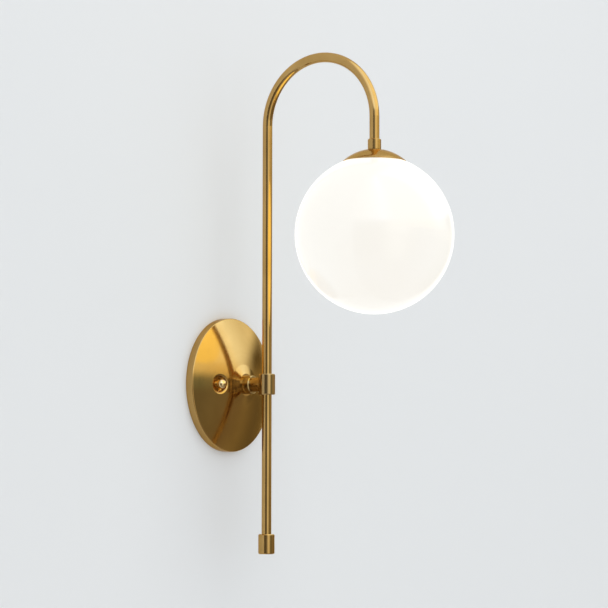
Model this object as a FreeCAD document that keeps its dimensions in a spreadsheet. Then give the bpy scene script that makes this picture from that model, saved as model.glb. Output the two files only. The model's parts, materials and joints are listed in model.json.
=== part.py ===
import FreeCAD, Part
import math
import os
from types import SimpleNamespace

import Sketcher
from FreeCAD import Placement, Rotation, Vector

# Globe wall sconce. The origin is the centre of the backplate on the wall's face, +Z is up,
# +X is to the right seen from the room, and +Y goes into the wall. All lengths are millimetres.

DRIVING_SIZES = {
    # mounting strap and what stands on it
    "strap_length": 107.0,
    "strap_width": 19.0,
    "strap_thickness": 2.0,
    "strap_corner": 3.0,
    "strap_centre_hole": 10.4,
    "box_screw_spacing": 88.9,
    "box_slot_length": 11.0,
    "box_slot_width": 4.8,
    "stud_spacing": 69.85,
    "stud_diameter": 4.1,
    "stud_reach": 21.0,
    "stud_nut_flats": 8.7,
    "stud_nut_height": 3.2,
    "ground_screw_offset": 18.0,
    "ground_screw_diameter": 4.7,
    "ground_head_flats": 7.9,
    "ground_head_height": 3.4,
    "ground_flange_diameter": 10.6,
    "ground_flange_height": 0.9,
    "thread_gap": 0.05,
    "clear_gap": 0.3,
    # backplate: a spun shell with a short skirt, a domed cone and two pressed seats
    "plate_diameter": 131.8,
    "plate_skirt": 7.8,
    "plate_edge_radius": 1.2,
    "plate_height": 24.6,
    "plate_wall": 0.9,
    "plate_face_radius": 228.0,
    "plate_flare_start": 20.0,
    "plate_flare_height": 21.6,
    "plate_flare_radius": 60.0,
    "plate_hub_diameter": 22.0,
    "seat_height": 15.2,
    "seat_floor_diameter": 14.6,
    "seat_wall_taper": 0.4,
    "seat_corner_radius": 0.8,
    "seat_lip_radius": 2.0,
    "stud_hole_gap": 0.25,
    # ball nuts
    "ball_diameter": 9.5,
    "ball_centre_height": 4.8,
    "ball_neck_diameter": 5.8,
    "ball_bore_depth": 7.0,
    "ball_seat_gap": 0.1,
    # threaded tube through the backplate, with its nut and washer
    "pipe_diameter": 9.5,
    "pipe_bore": 6.5,
    "pipe_nut_flats": 14.3,
    "pipe_nut_height": 3.0,
    "washer_diameter": 19.0,
    "washer_thickness": 0.9,
    "pipe_tail": 1.6,
    "bushing_diameter": 12.4,
    "bushing_lip": 1.4,
    # collar, neck and the sleeve that holds the stem
    "collar_diameter": 18.0,
    "collar_length": 8.6,
    "neck_diameter": 13.7,
    "neck_thread_depth": 6.6,
    "sleeve_diameter": 16.3,
    "sleeve_height": 20.4,
    "edge_chamfer": 0.8,
    "set_screw_diameter": 4.0,
    "set_screw_length": 3.0,
    "set_screw_socket": 1.0,
    "set_screw_socket_depth": 1.6,
    # bent stem
    "stem_diameter": 9.525,
    "stem_wall": 1.0,
    "stem_stand_off": 49.4,
    "stem_slip_gap": 0.08,
    "arch_radius": 62.5,
    "arch_height": 254.5,
    "wire_hole_diameter": 6.4,
    "stem_drop": 165.3,
    "foot_diameter": 16.0,
    "foot_height": 19.3,
    "foot_bore_depth": 14.0,
    "coupler_diameter": 12.8,
    "coupler_length": 10.0,
    # shade holder, its springs and its gasket
    "holder_diameter": 60.4,
    "holder_height": 12.0,
    "holder_rim_land": 0.4,
    "holder_wall": 0.8,
    "holder_hole_gap": 0.15,
    "spring_plate_diameter": 33.0,
    "spring_plate_thickness": 1.0,
    "spring_thickness": 0.5,
    "spring_width": 6.0,
    "spring_mouth_gap": 0.9,
    "rivet_circle": 26.0,
    "rivet_diameter": 2.4,
    "rivet_head_diameter": 4.4,
    "rivet_head_height": 0.6,
    "gasket_inner_diameter": 51.4,
    "gasket_outer_diameter": 54.4,
    # globe
    "globe_diameter": 152.0,
    "globe_centre_height": 140.6,
    "globe_wall": 3.0,
    "globe_mouth_diameter": 50.8,
    "globe_lip_radius": 1.1,
    # lampholder, measured down from its top
    "lamp_cap_gap": 0.5,
    "lamp_cap_diameter": 28.0,
    "lamp_cap_neck_diameter": 15.0,
    "lamp_cap_neck_length": 3.0,
    "lamp_cap_cone_depth": 9.0,
    "lamp_cap_depth": 18.0,
    "lamp_cap_wall": 1.7,
    "lamp_body_diameter": 25.2,
    "lamp_body_top": 13.0,
    "lamp_body_end": 46.0,
    "lamp_body_flange": 2.0,
    "lamp_body_bore": 14.4,
    "lamp_floor": 24.0,
    "lamp_fit_gap": 0.2,
    "shell_bore": 12.0,
    "shell_wall": 0.4,
    "shell_end": 41.0,
    "terminal_offset": 5.5,
    "contact_diameter": 4.6,
    "contact_height": 2.2,
    # bulb
    "bulb_base_diameter": 11.8,
    "bulb_base_length": 18.0,
    "bulb_tip_gap": 0.1,
    "bulb_tip_diameter": 4.4,
    "bulb_shoulder_drop": 3.4,
    "bulb_neck_diameter": 11.0,
    "bulb_neck_overlap": 9.0,
    "bulb_diameter": 35.0,
    "bulb_widest": 78.0,
    "bulb_end": 122.0,
    "bulb_nose_radius": 5.0,
    "bulb_wall": 1.0,
    # the two insulated leads that run inside the stem
    "lead_diameter": 2.2,
    "lead_half_gap": 1.4,
    "lead_offset": 1.2,
    "lead_bend_radius": 5.0,
    "lead_tail": 9.0,
    "lead_grip": 5.0,
}

doc = FreeCAD.newDocument("globe_wall_sconce")
sheet = doc.addObject("Spreadsheet::Sheet", "sizes")
for row, (alias, number) in enumerate(DRIVING_SIZES.items(), start=1):
    sheet.set(f"A{row}", alias)
    sheet.set(f"B{row}", str(number))
    sheet.setAlias(f"B{row}", alias)
doc.recompute()


class Size:
    """A number together with the sheet formula that it comes from."""

    def __init__(self, value, formula):
        self.value = value
        self.formula = formula

    def __add__(self, other):
        other = as_size(other)
        return Size(self.value + other.value, f"({self.formula} + {other.formula})")

    def __sub__(self, other):
        other = as_size(other)
        return Size(self.value - other.value, f"({self.formula} - {other.formula})")

    def __mul__(self, other):
        other = as_size(other)
        return Size(self.value * other.value, f"({self.formula} * {other.formula})")

    def __truediv__(self, other):
        other = as_size(other)
        return Size(self.value / other.value, f"({self.formula} / {other.formula})")

    def __radd__(self, other):
        return as_size(other) + self

    def __rsub__(self, other):
        return as_size(other) - self

    def __rmul__(self, other):
        return as_size(other) * self

    def __rtruediv__(self, other):
        return as_size(other) / self

    def __neg__(self):
        return as_size(0.0) - self


def as_size(number):
    """A plain number as a Size, and a Size as it is."""
    if isinstance(number, Size):
        return number
    return Size(float(number), f"({float(number)!r})")


def root(size):
    """The square root of a Size."""
    return Size(math.sqrt(size.value), f"sqrt({size.formula})")


dim = SimpleNamespace(**{
    alias: Size(float(sheet.get(alias)), f"sizes.{alias}") for alias in DRIVING_SIZES})

# ---- places that several pieces share -------------------------------------------------

stem_reach = dim.stem_stand_off + 2 * dim.arch_radius      # the front leg's axis from the wall
globe_radius = dim.globe_diameter / 2
globe_inner_radius = globe_radius - dim.globe_wall
holder_radius = dim.holder_diameter / 2
pipe_radius = dim.pipe_diameter / 2
pipe_thread_radius = pipe_radius + dim.thread_gap
stem_radius = dim.stem_diameter / 2
stem_socket_radius = stem_radius + dim.stem_slip_gap
stud_radius = dim.stud_diameter / 2


def globe_top_at(radius):
    """Height of the globe's outer face over its own centre, at a radius."""
    return root(globe_radius * globe_radius - radius * radius)


# the holder's rim follows a ball just over the glass
gap_radius = globe_radius + dim.clear_gap
holder_rim_height = dim.globe_centre_height + root(
    gap_radius * gap_radius - holder_radius * holder_radius)
crown_rise = dim.holder_height - dim.holder_rim_land
crown_radius = (holder_radius * holder_radius + crown_rise * crown_rise) / (2 * crown_rise)
crown_centre_height = dim.holder_height - crown_radius


def crown_at(radius, wall=0.0):
    """Height of the holder's crown over its rim at a radius, on its outer face less a wall."""
    reach = crown_radius - wall
    return crown_centre_height + root(reach * reach - radius * radius)


pipe_nut_corner = dim.pipe_nut_flats / math.sqrt(3.0)
holder_hole_radius = pipe_radius + dim.holder_hole_gap
coupler_bottom = holder_rim_height + crown_at(holder_hole_radius)
stem_front_end = coupler_bottom + dim.coupler_length / 2 + dim.clear_gap / 2
upper_nut_top = holder_rim_height + crown_at(pipe_nut_corner, dim.holder_wall)
spring_plate_top = upper_nut_top - dim.pipe_nut_height
spring_plate_bottom = spring_plate_top - dim.spring_plate_thickness
lower_nut_bottom = spring_plate_bottom - dim.pipe_nut_height
lamp_top = lower_nut_bottom - dim.lamp_cap_gap

# ---- helpers that draw and turn --------------------------------------------------------

PARTS = {}


def keep(piece, name):
    """List a finished sub-part under the name that its file takes."""
    piece.Label = name
    PARTS[name] = piece
    return piece


def place(piece, x=0.0, y=0.0, z=0.0, turn=None):
    """Set a piece's place, each coordinate bound to its sizes."""
    where = [as_size(number) for number in (x, y, z)]
    rotation = turn or Rotation()
    piece.Placement = Placement(Vector(*[size.value for size in where]), rotation)
    for axis, size in zip("xyz", where):
        piece.setExpression(f"Placement.Base.{axis}", size.formula)


OUT_OF_WALL = Rotation(Vector(1, 0, 0), 90)     # local Z points from the wall into the room
HANGING = Rotation(Vector(1, 0, 0), 180)        # local Z points down


def on_wall(piece, x=0.0, out=0.0):
    """Local Z runs from the wall into the room, local Y runs up."""
    place(piece, x, -as_size(out), 0.0, OUT_OF_WALL)


def on_stem(piece, height=0.0):
    place(piece, 0.0, -dim.stem_stand_off, height)


def on_front_leg(piece, height=0.0):
    place(piece, 0.0, -stem_reach, height)


def below_holder(piece):
    """Local Z runs down from the lampholder's top."""
    place(piece, 0.0, -stem_reach, lamp_top, HANGING)


def new_body(name):
    body = doc.addObject("PartDesign::Body", name)
    body.AllowCompound = True
    return body


def origin_feature(body, role):
    """A body's own plane or axis."""
    for feature in body.Origin.OriginFeatures:
        if feature.Role == role:
            return feature
    raise ValueError(role)


def new_sketch(body, role, name, height=0.0):
    """A sketch on one of the body's own planes, raised over it by height."""
    sketch = body.newObject("Sketcher::SketchObject", name)
    sketch.AttachmentSupport = (origin_feature(body, role), [""])
    sketch.MapMode = "FlatFace"
    height = as_size(height)
    sketch.AttachmentOffset = Placement(Vector(0, 0, height.value), Rotation())
    sketch.setExpression("AttachmentOffset.Base.z", height.formula)
    return sketch


def bind(sketch, kind, places, size):
    """One dimension of a sketch, driven by the sheet."""
    number = sketch.addConstraint(Sketcher.Constraint(kind, *places, size.value))
    sketch.setExpression(f"Constraints[{number}]", size.formula)


def pin_point(sketch, curve, end, x, y):
    """Hold a curve's end at (x, y), on the sketch's axes where a coordinate is zero."""
    for kind, size, axis in (("DistanceX", x, -2), ("DistanceY", y, -1)):
        if size.value == 0.0:
            sketch.addConstraint(Sketcher.Constraint("PointOnObject", curve, end, axis))
        else:
            bind(sketch, kind, (-1, 1, curve, end), size)


def draw(sketch, corners, closed=True):
    """Lines and arcs through corners, each (x, y) or (x, y, radius, turn).

    A radius bends the stretch from that corner to the next: turn is 1 where it runs
    anticlockwise and -1 where it runs clockwise.
    """
    corners = [tuple(as_size(n) for n in corner[:3]) + tuple(corner[3:]) for corner in corners]
    spans = len(corners) if closed else len(corners) - 1
    ends = []
    for index in range(spans):
        here = corners[index]
        there = corners[(index + 1) % len(corners)]
        start = Vector(here[0].value, here[1].value, 0)
        stop = Vector(there[0].value, there[1].value, 0)
        if len(here) == 2:
            curve = sketch.addGeometry(Part.LineSegment(start, stop), False)
            ends.append((curve, 1, 2))
            continue
        radius, turn = here[2], here[3]
        chord = stop - start
        left = Vector(-chord.y, chord.x, 0).normalize()
        depth = math.sqrt(radius.value ** 2 - (chord.Length / 2) ** 2)
        centre = (start + stop) * 0.5 + left * (depth * turn)
        first, last = (start, stop) if turn > 0 else (stop, start)
        angles = [math.atan2(p.y - centre.y, p.x - centre.x) for p in (first, last)]
        circle = Part.Circle(centre, Vector(0, 0, 1), radius.value)
        curve = sketch.addGeometry(Part.ArcOfCircle(circle, *angles), False)
        bind(sketch, "Radius", (curve,), radius)
        ends.append((curve, 1, 2) if turn > 0 else (curve, 2, 1))
    for index, (curve, start, _) in enumerate(ends):
        pin_point(sketch, curve, start, corners[index][0], corners[index][1])
    joints = spans if closed else spans - 1
    for index in range(joints):
        curve, _, stop = ends[index]
        after, start, _ = ends[(index + 1) % spans]
        sketch.addConstraint(Sketcher.Constraint("Coincident", curve, stop, after, start))
    if not closed:
        curve, _, stop = ends[-1]
        pin_point(sketch, curve, stop, corners[-1][0], corners[-1][1])


def draw_circle(sketch, x, y, radius):
    x, y, radius = as_size(x), as_size(y), as_size(radius)
    centre = Vector(x.value, y.value, 0)
    curve = sketch.addGeometry(Part.Circle(centre, Vector(0, 0, 1), radius.value), False)
    bind(sketch, "Radius", (curve,), radius)
    pin_point(sketch, curve, 3, x, y)


def revolve(body, name, corners, kind="PartDesign::Revolution", x=0.0):
    """Turn an outline of (radius, height) corners round local Z, or round a line at x."""
    corners = [(as_size(x) + corner[0],) + tuple(corner[1:]) for corner in corners]
    sketch = new_sketch(body, "XZ_Plane", name + "_outline")
    if as_size(x).value == 0.0:
        draw(sketch, corners)
        axis = "V_Axis"
    else:
        draw(sketch, corners)
        low = as_size(x)
        start = Vector(low.value, 0, 0)
        line = sketch.addGeometry(Part.LineSegment(start, start + Vector(0, 10, 0)), True)
        pin_point(sketch, line, 1, low, as_size(0.0))
        sketch.addConstraint(Sketcher.Constraint("Vertical", line))
        sketch.addConstraint(Sketcher.Constraint("Distance", line, 10.0))
        axis = "Axis0"
    feature = body.newObject(kind, name)
    feature.Profile = sketch
    feature.ReferenceAxis = (sketch, [axis])
    feature.Angle = 360
    return feature


def pad(body, name, sketch, length, midplane=False):
    """Raise a sketch along its own normal."""
    feature = body.newObject("PartDesign::Pad", name)
    feature.Profile = sketch
    feature.Length = as_size(length).value
    feature.setExpression("Length", as_size(length).formula)
    feature.Midplane = midplane
    return feature


def pocket(body, name, sketch, length, reverse=False, midplane=False):
    """Cut a sketch into the body, and make sure that it takes material away."""
    doc.recompute()
    before = body.Shape.Volume
    feature = body.newObject("PartDesign::Pocket", name)
    feature.Profile = sketch
    feature.Length = as_size(length).value
    feature.setExpression("Length", as_size(length).formula)
    feature.Reversed = reverse
    feature.Midplane = midplane
    doc.recompute()
    assert body.Shape.Volume < before, f"{name} cuts nothing"
    return feature


def groove(body, name, corners, x=0.0):
    """Turn away an outline, and make sure that it takes material away."""
    doc.recompute()
    before = body.Shape.Volume
    feature = revolve(body, name, corners, "PartDesign::Groove", x)
    doc.recompute()
    assert body.Shape.Volume < before, f"{name} cuts nothing"
    return feature


def dress(body, kind, name, size, wanted):
    """Round or chamfer the edges that wanted(edge) picks on the body's last feature."""
    doc.recompute()
    base = body.Tip
    picked = [f"Edge{n}" for n, edge in enumerate(base.Shape.Edges, start=1) if wanted(edge)]
    assert picked, f"{name} finds no edge"
    feature = body.newObject(kind, name)
    feature.Base = (base, picked)
    measure = "Radius" if kind.endswith("Fillet") else "Size"
    size = as_size(size)
    setattr(feature, measure, size.value)
    feature.setExpression(measure, size.formula)
    doc.recompute()
    return feature


def circle_near(radius, height):
    """Picks the full circles of a radius at a local height."""
    radius, height = as_size(radius).value, as_size(height).value

    def wanted(edge):
        if edge.Degenerated or not isinstance(edge.Curve, Part.Circle):
            return False
        curve = edge.Curve
        return abs(curve.Radius - radius) < 0.01 and abs(curve.Center.z - height) < 0.01
    return wanted


def repeat_along(body, feature, role, length, name):
    """A second copy of a feature at a distance along one of the body's axes."""
    row = body.newObject("PartDesign::LinearPattern", name)
    row.Originals = [feature]
    row.Direction = (origin_feature(body, role), [""])
    row.Length = as_size(length).value
    row.setExpression("Length", as_size(length).formula)
    row.Occurrences = 2
    body.Tip = row
    return row


def hexagon(flats):
    """Six corners of a hexagon, by its width across flats."""
    reach = flats / math.sqrt(3.0)
    turns = [math.radians(60 * step) for step in range(6)]
    return [(reach * round(math.cos(a), 9), reach * round(math.sin(a), 9)) for a in turns]


def ring(name, outer, inner, low, high):
    """A turned ring or tube between two heights."""
    body = new_body(name)
    revolve(body, name + "_ring", [(inner, low), (outer, low), (outer, high), (inner, high)])
    return body


def hex_nut(name, flats, height, bore, x=0.0):
    body = new_body(name)
    sketch = new_sketch(body, "XY_Plane", name + "_hexagon")
    corners = [(as_size(x) + a, b) for a, b in hexagon(flats)]
    draw(sketch, corners)
    draw_circle(sketch, x, 0.0, bore)
    return body, pad(body, name + "_blank", sketch, height)


# ---- the strap and what stands on it ---------------------------------------------------

def mounting_strap():
    """Steel strap: two slots for the wall box's screws, two tapped holes for the studs."""
    body = new_body("strap")
    half_length = dim.strap_length / 2
    half_width = dim.strap_width / 2
    corner = dim.strap_corner
    outline = new_sketch(body, "XY_Plane", "strap_outline")
    draw(outline, [
        (corner - half_length, -half_width),
        (half_length - corner, -half_width, corner, 1),
        (half_length, corner - half_width),
        (half_length, half_width - corner, corner, 1),
        (half_length - corner, half_width),
        (corner - half_length, half_width, corner, 1),
        (-half_length, half_width - corner),
        (-half_length, corner - half_width, corner, 1),
    ])
    pad(body, "strap_blank", outline, dim.strap_thickness)
    holes = new_sketch(body, "XY_Plane", "strap_holes")
    draw_circle(holes, 0.0, 0.0, dim.strap_centre_hole / 2)
    draw_circle(holes, dim.ground_screw_offset, 0.0,
                dim.ground_screw_diameter / 2 + dim.thread_gap)
    slot_radius = dim.box_slot_width / 2
    straight = dim.box_slot_length / 2 - slot_radius
    for side in (-1, 1):
        middle = side * dim.box_screw_spacing / 2
        draw(holes, [
            (middle - straight, -slot_radius),
            (middle + straight, -slot_radius, slot_radius * 1.000001, 1),
            (middle + straight, slot_radius),
            (middle - straight, slot_radius, slot_radius * 1.000001, 1),
        ])
        draw_circle(holes, side * dim.stud_spacing / 2, 0.0, stud_radius + dim.thread_gap)
    pocket(body, "strap_cuts", holes, dim.strap_thickness, reverse=True)
    on_wall(body)
    keep(body, "mounting_strap")


def canopy_studs():
    """Two threaded studs that stand out of the strap and take the ball nuts."""
    body = new_body("studs")
    left = -dim.stud_spacing / 2
    point = stud_radius - 0.5
    stud = revolve(body, "stud", [
        (0.0, 0.0), (stud_radius, 0.0), (stud_radius, dim.stud_reach - 0.5),
        (point, dim.stud_reach), (0.0, dim.stud_reach)], x=left)
    repeat_along(body, stud, "X_Axis", dim.stud_spacing, "stud_pair")
    on_wall(body)
    keep(body, "canopy_studs")


def stud_nuts():
    """Two small hexagon nuts that lock the studs on the strap."""
    body, nut = hex_nut("stud_nut", dim.stud_nut_flats, dim.stud_nut_height,
                        stud_radius + dim.thread_gap, -dim.stud_spacing / 2)
    repeat_along(body, nut, "X_Axis", dim.stud_spacing, "stud_nut_pair")
    on_wall(body, out=dim.strap_thickness)
    keep(body, "stud_nuts")


def ground_screw():
    """Hexagon-headed screw with a flange, for the house's ground wire."""
    body = new_body("ground")
    radius = dim.ground_screw_diameter / 2
    flange = dim.ground_flange_diameter / 2
    top = dim.strap_thickness + dim.ground_flange_height
    revolve(body, "ground_shank", [
        (0.0, 0.0), (radius, 0.0), (radius, dim.strap_thickness),
        (flange, dim.strap_thickness), (flange, top), (0.0, top)])
    head = new_sketch(body, "XY_Plane", "ground_hexagon", top)
    draw(head, hexagon(dim.ground_head_flats))
    pad(body, "ground_head", head, dim.ground_head_height)
    slot = new_sketch(body, "XY_Plane", "ground_slot", top + dim.ground_head_height)
    half, width = dim.ground_head_flats, as_size(0.6)
    draw(slot, [(-half, -width), (half, -width), (half, width), (-half, width)])
    pocket(body, "ground_slot_cut", slot, dim.ground_head_height / 3)
    on_wall(body, dim.ground_screw_offset)
    keep(body, "ground_screw")


# ---- the backplate ---------------------------------------------------------------------

def plate_face(shift, inset):
    """The front outline from the skirt's edge to the hub, moved in by a wall."""
    rim = dim.plate_diameter / 2 - inset
    edge_rise = inset * 0.4
    hub = dim.plate_hub_diameter / 2
    return [
        (rim, dim.plate_skirt - shift + edge_rise, dim.plate_face_radius, 1),
        (dim.plate_flare_start, dim.plate_flare_height - shift, dim.plate_flare_radius, -1),
        (hub, dim.plate_height - shift),
    ]


def seat_outline(wall):
    """A pressed seat round a stud: flat floor, tapered wall, grown outwards by a wall."""
    floor = dim.seat_floor_diameter / 2 + wall
    rise = dim.plate_height
    low = dim.seat_height - wall
    return [(0.0, low), (floor, low), (floor + rise * dim.seat_wall_taper, low + rise),
            (0.0, low + rise)]


def plate_solid(name, shift, inset, wall):
    """The plate as a full form: its outer face, or the hollow behind it."""
    body = new_body(name)
    face = plate_face(shift, inset)
    rim = face[0][0]
    revolve(body, name + "_form", [(0.0, 0.0), (rim, 0.0)] + face
            + [(0.0, dim.plate_height - shift)])
    if wall == 0.0:
        dress(body, "PartDesign::Fillet", name + "_edge", dim.plate_edge_radius,
              circle_near(rim, dim.plate_skirt))
    for side, word in ((-1, "left"), (1, "right")):
        groove(body, f"{name}_seat_{word}", seat_outline(wall), side * dim.stud_spacing / 2)
    on_wall(body)
    return body


def is_seat_lip(edge):
    """Picks the curved edges where a seat's wall meets the plate's face."""
    if edge.Degenerated or isinstance(edge.Curve, (Part.Circle, Part.Line)):
        return False
    middle = edge.CenterOfMass
    return abs(abs(middle.x) - dim.stud_spacing.value / 2) < 2 and middle.z > dim.seat_height.value


def backplate():
    """Spun shell, open at the back, with a pressed seat round each stud."""
    outer = plate_solid("plate_outer", as_size(0.0), as_size(0.0), 0.0)
    holes = new_sketch(outer, "XY_Plane", "plate_holes")
    draw_circle(holes, 0.0, 0.0, pipe_radius + dim.thread_gap)
    for side in (-1, 1):
        draw_circle(holes, side * dim.stud_spacing / 2, 0.0, stud_radius + dim.stud_hole_gap)
    pocket(outer, "plate_hole_cuts", holes, dim.plate_height * 2, reverse=True)
    dress(outer, "PartDesign::Fillet", "seat_corners", dim.seat_corner_radius,
          circle_near(dim.seat_floor_diameter / 2, dim.seat_height))
    dress(outer, "PartDesign::Fillet", "seat_lips", dim.seat_lip_radius, is_seat_lip)
    hollow = plate_solid("plate_hollow", dim.plate_wall * 1.05, dim.plate_wall, dim.plate_wall)
    shell = doc.addObject("Part::Cut", "plate_shell")
    shell.Base = outer
    shell.Tool = hollow
    keep(shell, "backplate")


def ball_nut(word, side):
    """Ball nut on a stud: a plain neck on the seat, a ball, and a blind tapped bore."""
    body = new_body("ball_" + word)
    ball = dim.ball_diameter / 2
    neck = dim.ball_neck_diameter / 2
    centre = dim.ball_centre_height
    meet = centre - root(ball * ball - neck * neck)
    bore = stud_radius + dim.thread_gap
    revolve(body, f"ball_{word}_form", [
        (bore, 0.0), (neck, 0.0), (neck, meet, ball, 1), (ball, centre, ball, 1),
        (0.0, centre + ball), (0.0, dim.ball_bore_depth), (bore, dim.ball_bore_depth)])
    on_wall(body, side * dim.stud_spacing / 2, dim.seat_height + dim.ball_seat_gap)
    keep(body, "ball_nut_" + word)


# ---- threaded tube, collar and clamp ---------------------------------------------------

hub_back = dim.plate_height - dim.plate_wall * 1.05
nut_front = hub_back - dim.washer_thickness
nut_back = nut_front - dim.pipe_nut_height
pipe_back = nut_back - dim.pipe_tail
collar_front = dim.plate_height + dim.collar_length
pipe_front = collar_front + dim.neck_thread_depth - dim.clear_gap


def canopy_pipe():
    """Threaded tube that joins the backplate to the clamp and lets the leads through."""
    keep(ring("canopy_pipe_body", pipe_radius, dim.pipe_bore / 2, pipe_back, pipe_front),
         "canopy_nipple")
    on_wall(PARTS["canopy_nipple"])


def canopy_washer():
    keep(ring("washer_body", dim.washer_diameter / 2, pipe_thread_radius, nut_front, hub_back),
         "nipple_washer")
    on_wall(PARTS["nipple_washer"])


def canopy_locknut():
    body, _ = hex_nut("canopy_nut", dim.pipe_nut_flats, dim.pipe_nut_height, pipe_thread_radius)
    on_wall(body, out=nut_back)
    keep(body, "nipple_locknut")


def canopy_bushing():
    """Plastic sleeve on the tube's back end that keeps its edge off the leads."""
    body = new_body("bushing_body")
    outer = dim.bushing_diameter / 2
    lip = dim.pipe_bore / 2
    end = pipe_back - dim.bushing_lip
    inner = pipe_thread_radius
    top = pipe_back + dim.pipe_tail - dim.clear_gap
    revolve(body, "bushing_form", [
        (lip, end), (outer - 0.6, end), (outer, end + 0.6), (outer, top), (inner, top),
        (inner, pipe_back), (lip, pipe_back)])
    on_wall(body)
    keep(body, "nipple_bushing")


def canopy_collar():
    """Turned collar between the backplate and the clamp's neck."""
    body = new_body("collar_body")
    outer = dim.collar_diameter / 2
    bevel = dim.edge_chamfer
    revolve(body, "collar_form", [
        (pipe_thread_radius, dim.plate_height), (outer, dim.plate_height),
        (outer, collar_front - bevel), (outer - bevel, collar_front),
        (pipe_thread_radius, collar_front)])
    on_wall(body)
    keep(body, "canopy_collar")


def stem_clamp():
    """Neck and sleeve in one piece: the neck screws on the tube, the sleeve holds the stem."""
    body = new_body("clamp")
    sleeve = dim.sleeve_diameter / 2
    half = dim.sleeve_height / 2
    neck = dim.neck_diameter / 2
    bevel = dim.edge_chamfer
    revolve(body, "sleeve_form", [
        (0.0, -half), (sleeve - bevel, -half), (sleeve, bevel - half), (sleeve, half - bevel),
        (sleeve - bevel, half), (0.0, half)])
    rod = new_sketch(body, "XZ_Plane", "neck_circle")
    draw_circle(rod, 0.0, 0.0, neck)
    neck_end = dim.stem_stand_off - collar_front
    stub = pad(body, "neck_rod", rod, neck_end)
    stub.Reversed = True
    tapped = new_sketch(body, "XZ_Plane", "neck_bore", -neck_end)
    draw_circle(tapped, 0.0, 0.0, pipe_thread_radius)
    pocket(body, "neck_thread", tapped, dim.neck_thread_depth, reverse=True)
    wires = new_sketch(body, "XZ_Plane", "wire_bore")
    draw_circle(wires, 0.0, 0.0, dim.pipe_bore / 2)
    pocket(body, "wire_way", wires, neck_end)
    bore = new_sketch(body, "XY_Plane", "sleeve_bore", -half)
    draw_circle(bore, 0.0, 0.0, stem_socket_radius)
    pocket(body, "sleeve_bore_cut", bore, dim.sleeve_height, reverse=True)
    tap = new_sketch(body, "YZ_Plane", "screw_bore")
    draw_circle(tap, 0.0, 0.0, dim.set_screw_diameter / 2 + dim.thread_gap)
    pocket(body, "screw_bore_cut", tap, sleeve, reverse=True)
    on_stem(body)
    keep(body, "stem_clamp")


def clamp_set_screw():
    """Headless screw on the clamp's far side that pinches the stem."""
    body = new_body("grub")
    radius = dim.set_screw_diameter / 2
    start = stem_radius + dim.thread_gap
    rod = new_sketch(body, "YZ_Plane", "grub_circle", start)
    draw_circle(rod, 0.0, 0.0, radius)
    pad(body, "grub_rod", rod, dim.set_screw_length)
    socket = new_sketch(body, "YZ_Plane", "grub_socket", start + dim.set_screw_length)
    draw(socket, hexagon(dim.set_screw_socket * 2))
    pocket(body, "grub_socket_cut", socket, dim.set_screw_socket_depth)
    on_stem(body)
    keep(body, "clamp_set_screw")


# ---- the bent stem and its ends --------------------------------------------------------

stem_low_end = dim.foot_height - dim.stem_drop - dim.foot_bore_depth + dim.clear_gap


def stem_tube():
    """One tube bent through a half circle, with a side hole for the leads at the clamp."""
    body = new_body("stem")
    section = new_sketch(body, "XY_Plane", "stem_section", stem_low_end)
    draw_circle(section, 0.0, 0.0, stem_radius)
    draw_circle(section, 0.0, 0.0, stem_radius - dim.stem_wall)
    path = new_sketch(body, "YZ_Plane", "stem_path")
    draw(path, [
        (0.0, stem_low_end), (0.0, dim.arch_height, dim.arch_radius * 1.000001, 1),
        (-2 * dim.arch_radius, dim.arch_height), (-2 * dim.arch_radius, stem_front_end)],
        closed=False)
    pipe = body.newObject("PartDesign::AdditivePipe", "stem_pipe")
    pipe.Profile = section
    pipe.Spine = (path, ["Edge1", "Edge2", "Edge3"])
    pipe.Mode = "Frenet"
    wires = new_sketch(body, "XZ_Plane", "stem_wire_hole")
    draw_circle(wires, 0.0, 0.0, dim.wire_hole_diameter / 2)
    pocket(body, "stem_wire_cut", wires, dim.stem_diameter)
    on_stem(body)
    keep(body, "stem_tube")


def stem_foot():
    """Turned foot that closes the stem's lower end."""
    body = new_body("foot")
    outer = dim.foot_diameter / 2
    bevel = dim.edge_chamfer
    top = dim.foot_height
    floor = top - dim.foot_bore_depth
    revolve(body, "foot_form", [
        (0.0, 0.0), (outer - bevel, 0.0), (outer, bevel), (outer, top - bevel),
        (outer - bevel, top), (stem_socket_radius, top), (stem_socket_radius, floor),
        (0.0, floor)])
    on_stem(body, -dim.stem_drop)
    keep(body, "stem_foot")


def stem_coupler():
    """Tapped coupler that joins the stem's front end to the tube under it."""
    body = new_body("coupler")
    outer = dim.coupler_diameter / 2
    bevel = dim.edge_chamfer
    top = dim.coupler_length
    revolve(body, "coupler_form", [
        (pipe_thread_radius, 0.0), (outer, 0.0), (outer, top - bevel), (outer - bevel, top),
        (stem_socket_radius, top), (stem_socket_radius, top / 2), (pipe_thread_radius, top / 2)])
    on_front_leg(body, coupler_bottom)
    keep(body, "stem_coupler")


def holder_nipple():
    """Threaded tube that hangs the holder, the spring plate and the lampholder."""
    low = lamp_top - dim.lamp_cap_neck_length
    high = coupler_bottom + dim.coupler_length / 2 - dim.clear_gap / 2
    body = ring("holder_pipe", pipe_radius, dim.pipe_bore / 2, low, high)
    on_front_leg(body)
    keep(body, "holder_nipple")


# ---- the shade holder ------------------------------------------------------------------

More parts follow.
